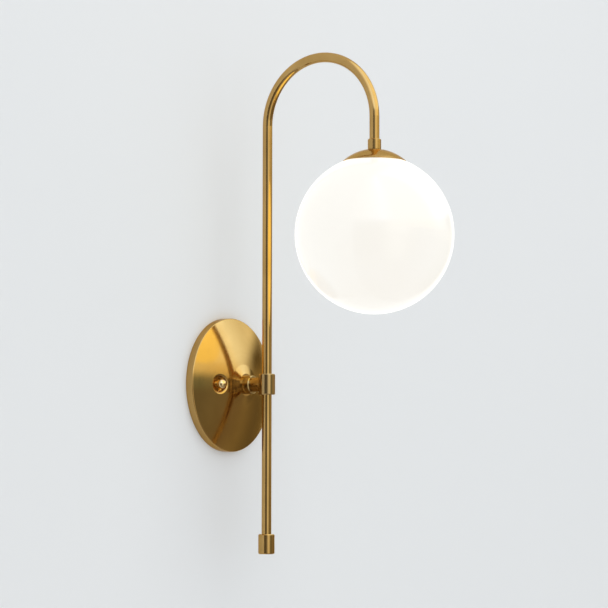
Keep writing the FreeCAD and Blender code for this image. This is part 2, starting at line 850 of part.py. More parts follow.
def shade_holder():
    """Thin round cap with an upright edge, and a rim that follows the glass."""
    body = new_body("holder")
    wall = dim.holder_wall
    reach = crown_radius - wall
    rise = holder_rim_height + crown_centre_height - dim.globe_centre_height
    meet = (gap_radius * gap_radius - reach * reach + rise * rise) / (2 * rise)
    inner_x = root(gap_radius * gap_radius - meet * meet)
    inner_z = meet + dim.globe_centre_height - holder_rim_height
    hole = holder_hole_radius
    revolve(body, "holder_form", [
        (inner_x, inner_z, gap_radius, -1), (holder_radius, 0.0),
        (holder_radius, dim.holder_rim_land, crown_radius, 1),
        (hole, crown_at(hole)), (hole, crown_at(hole, wall), reach, -1)])
    on_front_leg(body, holder_rim_height)
    keep(body, "shade_holder")


def holder_nuts():
    """Two nuts: one clamps the holder to the coupler, one clamps the spring plate."""
    body, nut = hex_nut("holder_nut", dim.pipe_nut_flats, dim.pipe_nut_height,
                        pipe_thread_radius)
    repeat_along(body, nut, "Z_Axis", dim.pipe_nut_height + dim.spring_plate_thickness,
                 "holder_nut_pair")
    on_front_leg(body, lower_nut_bottom)
    keep(body, "holder_nuts")


def spring_plate():
    """Stamped disc that carries the three globe springs."""
    body = new_body("spring_disc")
    disc = new_sketch(body, "XY_Plane", "spring_disc_outline")
    draw_circle(disc, 0.0, 0.0, dim.spring_plate_diameter / 2)
    draw_circle(disc, 0.0, 0.0, pipe_thread_radius)
    for number in range(3):
        turn = math.radians(spring_turn(number))
        x = dim.rivet_circle / 2 * math.cos(turn)
        y = dim.rivet_circle / 2 * math.sin(turn)
        draw_circle(disc, x, y, dim.rivet_diameter / 2 + dim.thread_gap)
    pad(body, "spring_disc_blank", disc, dim.spring_plate_thickness)
    on_front_leg(body, spring_plate_bottom)
    keep(body, "spring_plate")


def spring_turn(number):
    """Where each of the three springs stands round the holder's axis, in degrees."""
    return 90.0 + 120.0 * number


def rounded_path(points, radii):
    """Straight runs through points, with a tangent arc of the given radius at each corner."""
    edges = []
    start = points[0]
    for before, corner, after, radius in zip(points, points[1:], points[2:], radii):
        back = (before - corner).normalize()
        ahead = (after - corner).normalize()
        half_turn = (math.pi - back.getAngle(ahead)) / 2
        setback = radius * math.tan(half_turn)
        enter = corner + back * setback
        leave = corner + ahead * setback
        to_middle = (back + ahead).normalize()
        centre = corner + to_middle * (radius / math.cos(half_turn))
        middle = centre - to_middle * radius
        edges.append(Part.LineSegment(start, enter).toShape())
        edges.append(Part.Arc(enter, middle, leave).toShape())
        start = leave
    edges.append(Part.LineSegment(start, points[-1]).toShape())
    return Part.Wire(edges)


def globe_springs():
    """Three leaf springs: they pass down through the globe's mouth and bow out under it."""
    thick = dim.spring_thickness.value
    root_height = spring_plate_bottom.value - thick / 2
    mouth = dim.globe_mouth_diameter.value / 2
    inside = mouth - dim.spring_mouth_gap.value
    lip = dim.globe_centre_height.value + root(
        globe_inner_radius * globe_inner_radius
        - dim.globe_mouth_diameter * dim.globe_mouth_diameter / 4).value
    nut_edge = pipe_nut_corner.value + 1.3
    points = [
        Vector(nut_edge, 0, root_height),
        Vector(mouth - 6.6, 0, root_height),
        Vector(inside, 0, lip + 3.4),
        Vector(inside, 0, lip - 0.6),
        Vector(mouth + 1.4, 0, lip - 2.8),
        Vector(mouth - 2.6, 0, lip - 7.6),
    ]
    path = rounded_path(points, [1.5, 1.5, 1.0, 1.2])
    half = dim.spring_width.value / 2
    corners = [Vector(nut_edge, a * half, root_height + b * thick / 2)
               for a, b in ((-1, -1), (1, -1), (1, 1), (-1, 1), (-1, -1))]
    section = Part.makePolygon(corners)
    leaf = path.makePipeShell([section], True, True)
    hole_radius = dim.rivet_diameter.value / 2 + dim.thread_gap.value
    hole_centre = Vector(dim.rivet_circle.value / 2, 0, root_height - thick)
    leaf = leaf.cut(Part.makeCylinder(hole_radius, 2 * thick, hole_centre))
    leaves = []
    for number in range(3):
        copy = leaf.copy()
        copy.rotate(Vector(0, 0, 0), Vector(0, 0, 1), spring_turn(number))
        leaves.append(copy)
    feature = doc.addObject("Part::Feature", "spring_leaves")
    feature.Shape = Part.makeCompound(leaves)
    on_front_leg(feature)
    keep(feature, "globe_springs")


def spring_rivets():
    """Three rivets that hold the springs under their plate."""
    body = new_body("rivets")
    shank = dim.rivet_diameter / 2
    head = dim.rivet_head_diameter / 2
    low = -dim.spring_thickness
    high = dim.spring_plate_thickness
    cap = dim.rivet_head_height
    rivet = revolve(body, "rivet", [
        (0.0, low - cap), (head, low - cap), (head, low), (shank, low), (shank, high),
        (head, high), (head, high + cap), (0.0, high + cap)], x=dim.rivet_circle / 2)
    circle = body.newObject("PartDesign::PolarPattern", "rivet_circle_pattern")
    circle.Originals = [rivet]
    circle.Axis = (origin_feature(body, "Z_Axis"), [""])
    circle.Angle = 360
    circle.Occurrences = 3
    body.Tip = circle
    place(body, 0.0, -stem_reach, spring_plate_bottom,
          Rotation(Vector(0, 0, 1), spring_turn(0)))
    keep(body, "spring_rivets")


def holder_gasket():
    """Soft ring under the holder's crown, just over the globe's lip."""
    body = new_body("gasket")
    inner = dim.gasket_inner_diameter / 2
    outer = dim.gasket_outer_diameter / 2
    under = dim.holder_wall + dim.thread_gap
    over_glass = dim.clear_gap - holder_rim_height + dim.globe_centre_height
    revolve(body, "gasket_form", [
        (inner, over_glass + globe_top_at(inner)), (outer, over_glass + globe_top_at(outer)),
        (outer, crown_at(outer, under), crown_radius - under, 1),
        (inner, crown_at(inner, under))])
    on_front_leg(body, holder_rim_height)
    keep(body, "holder_gasket")


# ---- the globe -------------------------------------------------------------------------

def globe_glass():
    """Opal ball, closed below, with a round mouth and a rounded lip at the top."""
    body = new_body("globe")
    mouth = dim.globe_mouth_diameter / 2
    lip = dim.globe_lip_radius
    outer, inner = globe_radius, globe_inner_radius
    middle = mouth + lip
    high = root((outer - lip) * (outer - lip) - middle * middle)
    low = root((inner + lip) * (inner + lip) - middle * middle)
    out = outer / (outer - lip)
    back = inner / (inner + lip)
    revolve(body, "globe_form", [
        (0.0, -outer, outer, 1), (outer, 0.0, outer, 1),
        (middle * out, high * out, lip, 1), (mouth, high),
        (mouth, low, lip, 1), (middle * back, low * back, inner, -1),
        (inner, 0.0, inner, -1), (0.0, -inner)])
    on_front_leg(body, dim.globe_centre_height)
    keep(body, "globe_glass")


# ---- the lampholder and the bulb -------------------------------------------------------

def lampholder_cap():
    """Upper half of the lampholder: it screws on the tube and covers the terminals."""
    body = new_body("lamp_cap")
    neck = dim.lamp_cap_neck_diameter / 2
    outer = dim.lamp_cap_diameter / 2
    wall = dim.lamp_cap_wall
    neck_end = dim.lamp_cap_neck_length
    cone = dim.lamp_cap_cone_depth
    revolve(body, "lamp_cap_form", [
        (pipe_thread_radius, 0.0), (pipe_thread_radius, neck_end + wall),
        (neck - wall / 2, neck_end + wall), (outer - wall, cone + wall),
        (outer - wall, dim.lamp_cap_depth), (outer, dim.lamp_cap_depth), (outer, cone),
        (neck, neck_end), (neck, 0.0)])
    below_holder(body)
    keep(body, "lampholder_cap")


def lampholder_body():
    """Lower half of the lampholder: a socket with a collar that meets the cap."""
    body = new_body("lamp_body")
    outer = dim.lamp_body_diameter / 2
    upper = dim.lamp_cap_diameter / 2 - dim.lamp_cap_wall - dim.lamp_fit_gap
    flange = dim.lamp_cap_diameter / 2
    seat = dim.lamp_cap_depth
    step = seat + dim.lamp_body_flange
    bore = dim.lamp_body_bore / 2
    revolve(body, "lamp_body_form", [
        (0.0, dim.lamp_body_top), (0.0, dim.lamp_floor), (bore, dim.lamp_floor),
        (bore, dim.lamp_body_end), (outer, dim.lamp_body_end), (outer, step), (flange, step),
        (flange, seat), (upper, seat), (upper, dim.lamp_body_top)])
    ways = new_sketch(body, "XY_Plane", "lead_ways", dim.lamp_body_top)
    for side in (-1, 1):
        draw_circle(ways, side * dim.terminal_offset, -dim.lead_offset,
                    dim.lead_diameter / 2 + dim.thread_gap)
    pocket(body, "lead_ways_cut", ways, dim.lead_grip + dim.clear_gap, reverse=True)
    below_holder(body)
    keep(body, "lampholder_body")


def screw_shell():
    """Thin threaded shell that takes the bulb's base."""
    body = new_body("shell")
    bore = dim.shell_bore / 2
    outer = bore + dim.shell_wall
    top = dim.lamp_floor + dim.thread_gap
    opening = dim.contact_diameter / 2 + dim.lamp_fit_gap
    revolve(body, "shell_form", [
        (opening, top), (opening, top + dim.shell_wall), (bore, top + dim.shell_wall),
        (bore, dim.shell_end), (outer, dim.shell_end), (outer, top)])
    below_holder(body)
    keep(body, "screw_shell")


contact_low = dim.lamp_floor + dim.thread_gap


def centre_contact():
    """Contact button at the bottom of the socket."""
    body = new_body("contact")
    radius = dim.contact_diameter / 2
    tip = contact_low + dim.contact_height
    revolve(body, "contact_form", [
        (0.0, contact_low), (0.0, tip), (radius / 2, tip), (radius, tip - radius / 2),
        (radius, contact_low)])
    below_holder(body)
    keep(body, "centre_contact")


bulb_tip = contact_low + dim.contact_height + dim.bulb_tip_gap
bulb_base_end = bulb_tip + dim.bulb_base_length
bulb_neck_start = bulb_base_end - dim.bulb_neck_overlap


def bulb_base():
    """Screw base of the bulb: tip, tapered shoulder and a cup that holds the glass."""
    body = new_body("base")
    tip = dim.bulb_tip_diameter / 2
    outer = dim.bulb_base_diameter / 2
    neck = dim.bulb_neck_diameter / 2 + dim.thread_gap
    shoulder = bulb_tip + dim.bulb_shoulder_drop
    revolve(body, "base_form", [
        (0.0, bulb_tip), (0.0, bulb_neck_start), (neck, bulb_neck_start),
        (neck, bulb_base_end), (outer, bulb_base_end), (outer, shoulder),
        (tip + 1.0, bulb_tip + 1.2), (tip, bulb_tip + 1.2), (tip, bulb_tip)])
    below_holder(body)
    keep(body, "bulb_base")


def bulb_glass():
    """Torpedo-shaped bulb: neck, belly and a round nose, each stretch tangent to the next."""
    body = new_body("bulb")
    wall = dim.bulb_wall
    neck = dim.bulb_neck_diameter / 2
    wide = dim.bulb_diameter / 2
    nose = dim.bulb_nose_radius
    start = bulb_neck_start + dim.clear_gap
    neck_end = bulb_base_end + dim.clear_gap
    belly = dim.bulb_widest - neck_end
    reach = dim.bulb_end - dim.bulb_widest
    upper = (belly * belly + (wide - neck) * (wide - neck)) / (2 * (wide - neck))
    lower = (reach * reach + wide * wide - 2 * reach * nose) / (2 * (wide - nose))
    lean_x = (lower - wide) / (lower - nose)
    lean_z = (reach - nose) / (lower - nose)

    def meeting(radius):
        return (wide - lower) + radius * lean_x, dim.bulb_widest + radius * lean_z

    out_x, out_z = meeting(lower)
    in_x, in_z = meeting(lower - wall)
    revolve(body, "bulb_form", [
        (neck - wall, start), (neck - wall, neck_end, upper + wall, -1),
        (wide - wall, dim.bulb_widest, lower - wall, 1),
        (in_x, in_z, nose - wall, 1), (0.0, dim.bulb_end - wall),
        (0.0, dim.bulb_end, nose, -1), (out_x, out_z, lower, -1),
        (wide, dim.bulb_widest, upper, -1), (neck, neck_end), (neck, start)])
    below_holder(body)
    keep(body, "bulb_glass")


# ---- the leads inside the stem ---------------------------------------------------------

def lead(name, side):
    """One insulated lead: in through the threaded tube, up the stem, over and down."""
    x = side * dim.lead_half_gap.value
    terminal_x = side * dim.terminal_offset.value
    offset = dim.lead_offset.value
    back_y = -dim.stem_stand_off.value - offset
    front_y = offset - stem_reach.value
    arch_y = -dim.stem_stand_off.value - dim.arch_radius.value
    top = dim.arch_height.value
    bend = dim.lead_bend_radius.value
    tail_y = dim.lead_tail.value - pipe_back.value
    spread = lamp_top.value - 6.0
    gather = lamp_top.value - dim.lamp_body_top.value + 1.2
    end = lamp_top.value - dim.lamp_body_top.value - dim.lead_grip.value
    rise = rounded_path(
        [Vector(x, tail_y, -offset), Vector(x, back_y, -offset), Vector(x, back_y, top)], [bend])
    over = Part.Arc(Vector(x, back_y, top), Vector(x, arch_y, top + arch_y - back_y + 2 * (
        back_y - arch_y)), Vector(x, front_y, top)).toShape()
    fall = rounded_path(
        [Vector(x, front_y, top), Vector(x, front_y, spread),
         Vector(terminal_x, front_y, gather), Vector(terminal_x, front_y, end)], [bend, bend])
    path = Part.Wire(rise.Edges + [over] + fall.Edges)
    circle = Part.Circle(Vector(x, tail_y, -offset), Vector(0, -1, 0), dim.lead_diameter.value / 2)
    tube = path.makePipeShell([Part.Wire(circle.toShape())], True, False)
    section_area = math.pi * (dim.lead_diameter.value / 2) ** 2
    print(f"{name}: length {path.Length:.1f}, smallest bend {bend:.1f}, "
          f"volume ratio {tube.Volume / (section_area * path.Length):.4f}")
    feature = doc.addObject("Part::Feature", name + "_sweep")
    feature.Shape = tube
    keep(feature, name)


# ---- build, check and write ------------------------------------------------------------

mounting_strap()
canopy_studs()
stud_nuts()
ground_screw()
backplate()
for word, side in (("left", -1), ("right", 1)):
    ball_nut(word, side)
canopy_pipe()
canopy_washer()
canopy_locknut()
canopy_bushing()
canopy_collar()
stem_clamp()
clamp_set_screw()
stem_tube()
stem_foot()
stem_coupler()
holder_nipple()
shade_holder()
holder_nuts()
spring_plate()
globe_springs()
spring_rivets()
holder_gasket()
globe_glass()
lampholder_cap()
lampholder_body()
screw_shell()
centre_contact()
bulb_base()
bulb_glass()
for name, side in (("line_lead", -1), ("neutral_lead", 1)):
    lead(name, side)
doc.recompute()

for thing in doc.Objects:
    assert "Invalid" not in thing.State and "Error" not in thing.State, (thing.Name, thing.State)
os.makedirs("parts", exist_ok=True)
for name, piece in PARTS.items():
    shape = piece.Shape
    assert not shape.isNull() and shape.isValid(), name
    assert shape.Solids, name
    shape.exportStep(f"parts/{name}.step")
    box = shape.BoundBox
    print(f"{name:18s} solids {len(shape.Solids)}  x {box.XMin:.1f}..{box.XMax:.1f}"
          f"  y {box.YMin:.1f}..{box.YMax:.1f}  z {box.ZMin:.1f}..{box.ZMax:.1f}")
print(len(PARTS), "sub-parts written")
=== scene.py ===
# %% [markdown]
# # A globe wall sconce in satin brass and opal glass
#
# This lesson dresses a wall lamp whose pieces were drawn and turned beforehand. The frame brings
# every piece in its place, in metres, with Z up and the wall on the far side of Y. We add the
# camera, the room that the metal reflects, the finishes, and the small forms that are easier to
# make here than to draw. Nothing here moves a piece of the frame.

# %% Load the lamp
import json
import math

import bpy
from mathutils import Matrix, Vector


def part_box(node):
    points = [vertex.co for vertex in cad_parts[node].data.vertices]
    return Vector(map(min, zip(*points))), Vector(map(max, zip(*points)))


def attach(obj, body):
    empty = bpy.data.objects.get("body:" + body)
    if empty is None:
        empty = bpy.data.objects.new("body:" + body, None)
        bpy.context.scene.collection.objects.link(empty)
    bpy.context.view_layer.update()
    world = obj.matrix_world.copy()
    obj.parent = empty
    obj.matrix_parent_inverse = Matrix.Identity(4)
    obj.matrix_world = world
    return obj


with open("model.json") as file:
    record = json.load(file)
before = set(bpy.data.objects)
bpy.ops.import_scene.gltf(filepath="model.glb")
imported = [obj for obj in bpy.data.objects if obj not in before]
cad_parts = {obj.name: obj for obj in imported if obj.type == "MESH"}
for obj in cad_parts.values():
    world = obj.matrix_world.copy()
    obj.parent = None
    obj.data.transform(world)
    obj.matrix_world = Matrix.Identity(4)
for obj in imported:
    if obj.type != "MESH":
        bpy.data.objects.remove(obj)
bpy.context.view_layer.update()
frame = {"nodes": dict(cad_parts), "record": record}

nodes = frame["nodes"]
scene = bpy.context.scene

# %% [markdown]
# ## Where the lamp's main pieces lie
#
# The wall, the turned rings and the threads need three places. The frame's own origin lies on
# the plate's level axis. The other two are read from the pieces, so that they stay right if a
# piece is drawn anew: the backplate's rear, where the wall begins, and the upright line through
# the holder and the globe.

# %% Measure the pieces
plate_axis = Vector((0, 0, 0))
wall_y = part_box("backplate")[1][1]
nipple_low, nipple_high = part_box("holder_nipple")
lamp_axis = (Vector(nipple_low) + Vector(nipple_high)) / 2
print("wall at y", round(wall_y, 4), "and the globe's axis at x, y",
      round(lamp_axis.x, 4), round(lamp_axis.y, 4))

# %% [markdown]
# ## The camera
#
# The photograph was taken from the lamp's left and a little below, with a long lens, which keeps
# the two legs of the stem almost parallel. Its place and its lens were worked out from the
# outlines of the globe, the plate and the stem. A constraint could point the camera at the lamp.
# We build its directions ourselves, because that also gives the photograph's slight tilt.

# %% Set the camera
LENS = 139.74
SENSOR = 36.0
FARTHEST_SEEN = 50.0
CAMERA_PLACE = Vector((-1.88938, -1.38006, -0.07934))
CAMERA_TARGET = Vector((-0.02728, -0.11181, 0.07498))
CAMERA_ROLL = math.radians(0.1)

camera_data = bpy.data.cameras.new("camera")
camera_data.lens = LENS
camera_data.sensor_width = SENSOR
camera_data.clip_end = FARTHEST_SEEN
camera = bpy.data.objects.new("camera", camera_data)
scene.collection.objects.link(camera)
backward = (CAMERA_PLACE - CAMERA_TARGET).normalized()
rightward = Vector((0, 0, 1)).cross(backward).normalized()
upward = backward.cross(rightward)
facing = Matrix((rightward, upward, backward)).transposed()
facing = facing @ Matrix.Rotation(CAMERA_ROLL, 3, "Z")
camera.matrix_world = Matrix.Translation(CAMERA_PLACE) @ facing.to_4x4()
scene.camera = camera
scene.view_settings.view_transform = "Standard"
print("camera at", [round(v, 3) for v in CAMERA_PLACE], "with a lens of", LENS, "mm")

# %% [markdown]
# ## A short way to write shader maths
#
# A finish is made of small sums of node outputs. Written one node at a time they are hard to
# read, so one class wraps an output, and `wear * 2 + 0.1` adds the Math nodes for us. The
# reflected forms let a number come first, as in `1 - wear`.

# %% Wrap a node's output
class Wire:
    """A node's output that can be used in sums."""

    def __init__(self, board, socket):
        self.board = board
        self.socket = socket

    def join(self, operation, first, second):
        return self.board.add("ShaderNodeMath", {"operation": operation}, {0: first, 1: second})

    def __add__(self, other):
        return self.join("ADD", self, other)

    def __sub__(self, other):
        return self.join("SUBTRACT", self, other)

    def __mul__(self, other):
        return self.join("MULTIPLY", self, other)

    def __truediv__(self, other):
        return self.join("DIVIDE", self, other)

    def __radd__(self, other):
        return self.join("ADD", other, self)

    def __rsub__(self, other):
        return self.join("SUBTRACT", other, self)

    def __rmul__(self, other):
        return self.join("MULTIPLY", other, self)

    def __rtruediv__(self, other):
        return self.join("DIVIDE", other, self)


print("a wire can be added, subtracted, multiplied and divided")

# %% [markdown]
# ## One way to add any other node
#
# Nodes that aren't sums come from one method. It takes the node's type, its settings, which have
# to be set first because some of them change the sockets, and then the values or the wires of
# its inputs. The few nodes that every finish needs get short names of their own.

# %% Make the board
NOISE_LOW, NOISE_HIGH = 0.3, 0.7


class Board:
    """A node tree, with one way to add a node of any type."""

    def __init__(self, tree):
        self.tree = tree
        tree.nodes.clear()

    def add(self, kind, settings=None, inputs=None, output=0):
        """Settings first, a ramp's stops among them, then each input's value or wire."""
        node = self.tree.nodes.new(kind)
        for name, value in (settings or {}).items():
            if name == "stops":
                stops = node.color_ramp.elements
                while len(stops) < len(value):
                    stops.new(0.5)  # anywhere: its place follows
                for stop, (position, colour) in zip(stops, value):
                    stop.position = position
                    stop.color = (*colour, 1.0)
            else:
                setattr(node, name, value)
        for name, value in (inputs or {}).items():
            socket = node.inputs[name]
            if isinstance(value, Wire):
                self.tree.links.new(value.socket, socket)
            elif socket.type == "RGBA" and len(value) == 3:
                socket.default_value = (*value, 1.0)
            else:
                socket.default_value = value
        if output is None:
            return None
        return Wire(self, node.outputs[output])

    def spot(self):
        """Where a point lies on its piece, in metres."""
        return self.add("ShaderNodeTexCoord", output="Object")

    def vector(self, operation, first, second):
        """A sum of two places, which a Math node can't take."""
        return self.add("ShaderNodeVectorMath", {"operation": operation}, {0: first, 1: second})

    def noise(self, scale, detail=3.0, stretch=(1, 1, 1), place=None):
        """Soft random values round 0.5, drawn out along an axis if its stretch is small."""
        drawn = self.vector("MULTIPLY", place or self.spot(), stretch)
        return self.add("ShaderNodeTexNoise", {}, {
            "Vector": drawn, "Scale": scale, "Detail": detail})

    def between(self, value, low=NOISE_LOW, high=NOISE_HIGH, start=0.0, end=1.0):
        """Carry values from low..high over to start..end, and hold them there."""
        return self.add("ShaderNodeMapRange", {"clamp": True, "interpolation_type": "SMOOTHSTEP"}, {
            "Value": value, "From Min": low, "From Max": high, "To Min": start, "To Max": end})

    def colours(self, amount, first, second):
        """Mix two colours, by their places on the Mix node: factor 0, colours 6 and 7."""
        return self.add("ShaderNodeMix", {"data_type": "RGBA"}, {
            0: amount, 6: first, 7: second}, output=2)

    def bump(self, height, distance, strength):
        return self.add("ShaderNodeBump", {}, {
            "Height": height, "Distance": distance, "Strength": strength})

    def principled(self, inputs):
        return self.add("ShaderNodeBsdfPrincipled", {}, inputs)

    def either(self, factor, first, second):
        """The first surface where the factor is 0, and the second where it is 1."""
        return self.add("ShaderNodeMixShader", {}, {0: factor, 1: first, 2: second})

    def end(self, shader, kind="ShaderNodeOutputMaterial"):
        self.add(kind, {}, {"Surface": shader}, output=None)


print("most of a noise's values are taken to lie between", NOISE_LOW, "and", NOISE_HIGH)

# %% [markdown]
# ## From a board to a finish
#
# Each finish of the lamp is a function that draws on an empty board and gives back its surface.
# The material could be made inside each of those functions, but then every one would repeat the
# same three lines, so they stand here once.

# %% Make a finish
def finish(name, build):
    """A new material whose surface build(board) makes."""
    material = bpy.data.materials.new(name)
    material.use_nodes = True
    board = Board(material.node_tree)
    board.end(build(board))
    return material


print("a finish is made by", finish.__name__ + "(name, build)")

# %% [markdown]
# ## The room, as the metal sees it
#
# Polished metal has no colour of its own to show: it shows the room, tinted. A real room could be
# modelled round the lamp, but a few listed levels are easier to steer. A dark doorway to the left,
# a tall window by the camera and a bright, warm upper wall to the right give the stem its dark and
# bright stripes and the plate its yellow top and brown foot.
#
# Each list goes once round the room at one height. The degrees run from -X, which is 0, through
# the room's front to +X, which is 180. The rest of the turn lies behind the wall. It is pale and
# even, and metal shows it only when the lamp is looked at from behind.

# %% List the room's levels
EYE_LEVEL = [
    (0, (0.24, 0.24, 0.25)),
    (9, (0.12, 0.12, 0.12)),
    (34, (0.12, 0.12, 0.12)),
    (46, (0.50, 0.50, 0.50)),
    (57, (1.05, 1.08, 1.02)),
    (77, (1.10, 1.14, 1.06)),
    (88, (0.52, 0.48, 0.40)),
    (100, (0.20, 0.24, 0.20)),
    (118, (0.34, 0.31, 0.22)),
    (132, (0.52, 0.46, 0.36)),
    (150, (0.40, 0.35, 0.26)),
    (180, (0.26, 0.22, 0.12)),
    (186, (0.70, 0.72, 0.74)),
    (354, (0.70, 0.72, 0.74)),
]
UPPER_LEVEL = [
    (0, (0.24, 0.24, 0.25)),
    (32, (0.26, 0.28, 0.29)),
    (46, (0.62, 0.63, 0.62)),
    (60, (1.28, 1.24, 1.02)),
    (84, (1.28, 1.20, 0.88)),
    (98, (1.24, 1.18, 0.80)),
    (120, (1.20, 1.02, 0.52)),
    (140, (1.05, 1.08, 0.95)),
    (156, (0.55, 0.56, 0.52)),
    (166, (0.13, 0.11, 0.06)),
    (176, (0.13, 0.11, 0.06)),
    (180, (0.34, 0.34, 0.34)),
    (186, (0.80, 0.82, 0.84)),
    (354, (0.80, 0.82, 0.84)),
]
HIGH_LEVEL = [
    (0, (0.85, 0.90, 0.94)),
    (20, (1.22, 1.32, 1.36)),
    (46, (1.45, 1.75, 2.40)),
    (62, (1.36, 1.44, 1.45)),
    (90, (1.45, 1.48, 1.30)),
    (120, (1.58, 1.52, 1.10)),
    (140, (1.55, 1.80, 2.10)),
    (160, (1.20, 1.34, 1.50)),
    (180, (1.04, 1.14, 1.20)),
    (186, (0.90, 0.92, 0.94)),
    (354, (0.90, 0.92, 0.94)),
]
LOWER_LEVEL = [
    (0, (0.16, 0.15, 0.13)),
    (32, (0.13, 0.12, 0.10)),
    (46, (0.40, 0.38, 0.34)),
    (58, (0.82, 0.82, 0.76)),
    (74, (0.84, 0.83, 0.76)),
    (86, (0.34, 0.31, 0.24)),
    (98, (0.18, 0.17, 0.13)),
    (112, (0.22, 0.20, 0.14)),
    (132, (0.22, 0.18, 0.12)),
    (149, (0.28, 0.24, 0.15)),
    (168, (0.16, 0.14, 0.10)),
    (180, (0.22, 0.19, 0.11)),
    (186, (0.60, 0.61, 0.62)),
    (354, (0.60, 0.61, 0.62)),
]
FLOOR_LEVEL = (0.36, 0.34, 0.33)
print("levels round the room, from high to low:",
      [len(levels) for levels in (HIGH_LEVEL, UPPER_LEVEL, EYE_LEVEL, LOWER_LEVEL)])

# %% [markdown]
# ## Light from the room
#
# The world could show this room to every ray, but then its window would also light the wall
# unevenly. So the world gives a plain pale light to everything else, and the room only to
# reflections. How steeply a reflection rises or falls chooses between the levels.

# %% Light the room
PALE = (0.915, 0.905, 0.915)
ROOM_STRENGTH = 1.2
# Each pair is the rise or fall of a ray where a level begins to show and where it alone shows.
UPPER_RISE = (0.08, 0.19)
HIGH_RISE = (0.20, 0.32)
LOWER_FALL = (-0.02, 0.05)
FLOOR_FALL = (0.45, 0.75)

world = bpy.data.worlds.new("room")
world.use_nodes = True
scene.world = world
room = Board(world.node_tree)
ray = room.add("ShaderNodeTexCoord", output="Generated")
across, ahead, rise = [
    room.add("ShaderNodeSeparateXYZ", {}, {"Vector": ray}, output=n) for n in range(3)]
turn = room.add("ShaderNodeMath", {"operation": "ARCTAN2"}, {0: ahead, 1: across})
round_room = (turn + math.pi) / (2 * math.pi)


def sweep(levels):
    """The room's level all the way round, at one height."""
    stops = [(degrees / 360, colour) for degrees, colour in levels]
    return room.add("ShaderNodeValToRGB", {"stops": stops}, {"Fac": round_room})


fall = rise * -1
seen = room.colours(room.between(rise, *UPPER_RISE), sweep(EYE_LEVEL), sweep(UPPER_LEVEL))
seen = room.colours(room.between(rise, *HIGH_RISE), seen, sweep(HIGH_LEVEL))
seen = room.colours(room.between(fall, *LOWER_FALL), seen, sweep(LOWER_LEVEL))
seen = room.colours(room.between(fall, *FLOOR_FALL), seen, FLOOR_LEVEL)
glossy = room.add("ShaderNodeLightPath", output="Is Glossy Ray")
room_light = room.add("ShaderNodeBackground", {}, {"Color": seen, "Strength": ROOM_STRENGTH})
plain_light = room.add("ShaderNodeBackground", {}, {"Color": PALE})
room.end(room.either(glossy, plain_light, room_light), "ShaderNodeOutputWorld")
print("the room's map has", len(world.node_tree.nodes), "nodes")

# %% [markdown]
# ## Paint for the wall and the floor
#
# The lamp hangs on a smooth wall painted a pale cool grey. Paint could be one even colour, but
# a roller leaves faint clouds and a fine grain, so a slow noise mixes two tones and a fast one
# gives a weak bump. A solid wall would hide the back of the plate. So the paint is only there
# from the front, lets the view through from behind, and casts no shadow.

# %% Paint the wall and the floor
WALL_DEEP, WALL_LIGHT = (0.80, 0.835, 0.845), (0.83, 0.855, 0.86)
FLOOR_DEEP, FLOOR_LIGHT = (0.78, 0.79, 0.79), (0.82, 0.83, 0.83)


def painted_wall(board):
    paint = board.principled({
        "Base Color": board.colours(board.noise(scale=1.3, detail=2.0), WALL_DEEP, WALL_LIGHT),
        "Roughness": 0.9,
        "Normal": board.bump(board.noise(scale=900.0, detail=2.0), distance=0.0002, strength=0.3)})
    behind = board.add("ShaderNodeNewGeometry", output="Backfacing")
    shadow = board.add("ShaderNodeLightPath", output="Is Shadow Ray")
    open_side = board.add("ShaderNodeMath", {"operation": "MAXIMUM"}, {0: behind, 1: shadow})
    return board.either(open_side, paint, board.add("ShaderNodeBsdfTransparent"))


def pale_floor(board):
    return board.principled({
        "Base Color": board.colours(board.noise(scale=4.0), FLOOR_DEEP, FLOOR_LIGHT),
        "Roughness": 0.8})


wall_paint = finish("wall_paint", painted_wall)
floor_paint = finish("floor_paint", pale_floor)
print("paints:", wall_paint.name, "and", floor_paint.name)

# %% [markdown]
# ## The wall and the floor
#
# Behind the plate the wall has the round opening of a wall box, which lets light in there. The
# opening could be cut with a modifier, but four faces that each run along one quarter of it are
# simpler and stay flat. The floor is far below the lamp, and reflections don't show it, because
# they take it from the room's own levels.

# %% Put up the wall
WALL_SPREAD = 5.0
WALL_GAP = 0.0001
FLOOR_Z = -1.3
QUARTERS = 4
OPENING_RADIUS = 0.052
OPENING_STEPS = 16
OPENING_POINTS = QUARTERS * OPENING_STEPS


def sheet(name, corners, faces, material):
    """A flat stage piece."""
    mesh = bpy.data.meshes.new(name)
    mesh.from_pydata(corners, [], faces)
    mesh.materials.append(material)
    piece = bpy.data.objects.new(name, mesh)
    scene.collection.objects.link(piece)
    return piece


half = WALL_SPREAD / 2
back = wall_y + WALL_GAP
wall_points = [
    (-half, back, FLOOR_Z), (half, back, FLOOR_Z), (half, back, half), (-half, back, half)]
for number in range(OPENING_POINTS):
    # The opening's first point is its lower left one, next to the wall's first corner.
    angle = (number / OPENING_STEPS - 1.5) * math.pi / 2
    wall_points.append((OPENING_RADIUS * math.cos(angle), back, OPENING_RADIUS * math.sin(angle)))


def wall_quarter(number):
    """From one corner along the wall's edge to the next, and back along the opening."""
    start = number * OPENING_STEPS
    arc = [QUARTERS + (start + step) % OPENING_POINTS for step in range(OPENING_STEPS, -1, -1)]
    return [number, (number + 1) % QUARTERS] + arc


sheet("wall", wall_points, [wall_quarter(number) for number in range(QUARTERS)], wall_paint)
floor_corners = [(-half, -half, FLOOR_Z), (half, -half, FLOOR_Z), (half, back, FLOOR_Z),
                 (-half, back, FLOOR_Z)]
floor = sheet("floor", floor_corners, [(0, 1, 2, 3)], floor_paint)
floor.visible_glossy = False
print("wall at", round(back, 4), "and floor at", FLOOR_Z)

